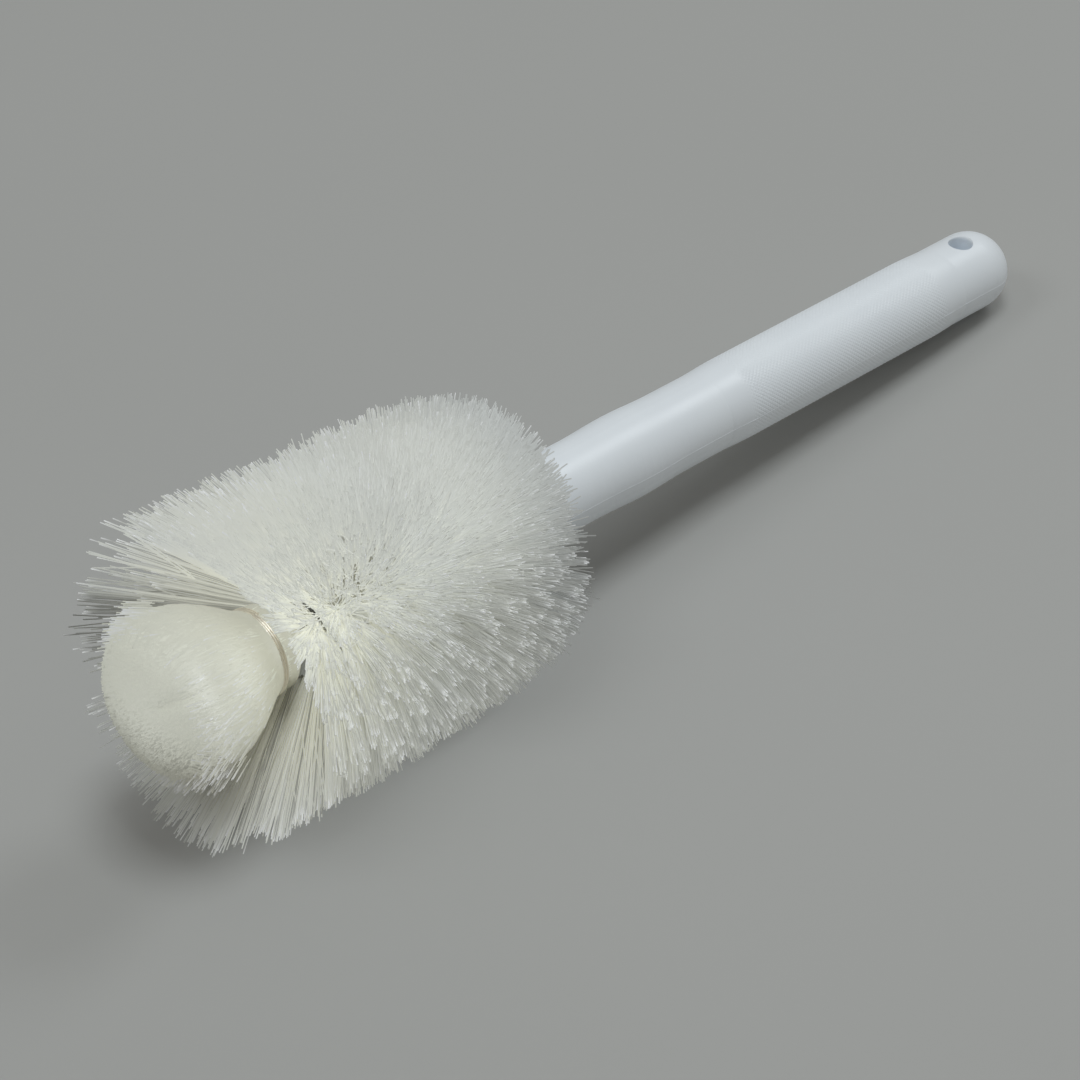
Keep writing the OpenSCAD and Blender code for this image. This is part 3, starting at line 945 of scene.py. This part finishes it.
def camera():
    azimuth, elevation = (math.radians(v) for v in CAMERA_FROM)
    away = np.array([
        math.sin(azimuth) * math.cos(elevation),
        -math.cos(azimuth) * math.cos(elevation),
        math.sin(elevation),
    ])
    data = bpy.data.cameras.new("camera")
    data.sensor_width = SENSOR
    data.lens = FOCAL_PX / PICTURE_PX * SENSOR
    data.clip_start = 0.01
    camera_object = bpy.data.objects.new("camera", data)
    camera_object.location = LOOK_AT + CAMERA_DISTANCE * away
    camera_object.rotation_euler = Vector(-away).to_track_quat("-Z", "Y").to_euler()
    bpy.context.scene.collection.objects.link(camera_object)
    bpy.context.scene.camera = camera_object


def floor():
    n = Nodes("floor")
    patches = n.noise(3, 2, n.place())
    n.set(Base_Color=n.mottled(patches, (0.44, 0.44, 0.425), (0.46, 0.46, 0.445)), Roughness=0.7)
    mesh = bpy.data.meshes.new("floor")
    corners = [(FLOOR_HALF * x, FLOOR_HALF * y, 0) for x, y in ((-1, -1), (1, -1), (1, 1), (-1, 1))]
    mesh.from_pydata(corners, [], [(0, 1, 2, 3)])
    mesh.materials.append(n.material)
    ground = bpy.data.objects.new("floor", mesh)
    bpy.context.scene.collection.objects.link(ground)


def lamp(name, towards, distance, size, power):
    """A square softbox that lights the brush from this direction."""
    data = bpy.data.lights.new(name, "AREA")
    data.size = size
    data.energy = power
    data.color = LAMP_COLOUR
    lamp_object = bpy.data.objects.new(name, data)
    direction = Vector(towards).normalized()
    lamp_object.location = direction * distance
    lamp_object.rotation_euler = (-direction).to_track_quat("-Z", "Y").to_euler()
    bpy.context.scene.collection.objects.link(lamp_object)


def lights():
    lamp("overhead_lamp", (0.0, -0.08, 1.0), 1.4, 0.5, 5.3)
    lamp("front_lamp", (-0.55, 0.3, 0.8), 1.4, 0.5, 2.2)
    lamp("end_lamp", (0.68, -0.02, 0.73), 1.3, 0.45, 2.7)
    world = bpy.data.worlds.new("studio")
    world.use_nodes = True
    background = world.node_tree.nodes["Background"]
    background.inputs["Color"].default_value = SURROUND_COLOUR
    background.inputs["Strength"].default_value = SURROUND_STRENGTH
    scene = bpy.context.scene
    scene.world = world
    scene.view_settings.view_transform = "Standard"
    scene.cycles.max_bounces = 14
    scene.cycles.diffuse_bounces = 10


# ---------------------------------------------------------------------------------------------


def finish_node(name, material):
    node = frame["nodes"][name]
    node.data.materials.clear()
    node.data.materials.append(material)


plastic = handle_plastic()
finish_node("handle", plastic)
knurl(plastic)
parting_line(plastic)
finish_node("stem_wire", wire_metal("stem_steel", (0.62, 0.62, 0.6), 0.3))
finish_node("binding_wire", wire_metal("binding_metal", (1.0, 0.94, 0.83), 0.36))
# The head's darker root and ends colours are painted shade, and its near colour is painted light
head_nylon = nylon(
    "nylon_bristle", root=(0.765, 0.75, 0.66), tip=(0.775, 0.78, 0.725), near=(0.97, 0.95, 0.8),
    ends=(0.6, 0.61, 0.59), reach=34 * MM, through=0.25,
)
head_bristles(head_nylon)
head_mass(nylon_mass("nylon_mass", (0.84, 0.845, 0.78)))
# The tuft's darker root and near colours are painted shade
tuft_nylon = nylon(
    "nylon_tuft", root=(0.89, 0.86, 0.72), tip=(0.95, 0.95, 0.83), near=(0.74, 0.72, 0.6),
    ends=(0.95, 0.95, 0.83), reach=19 * MM, through=0.05,
)
tuft(tuft_nylon, nylon_mass("tuft_mass", (0.95, 0.95, 0.82)))
camera()
floor()
lights()
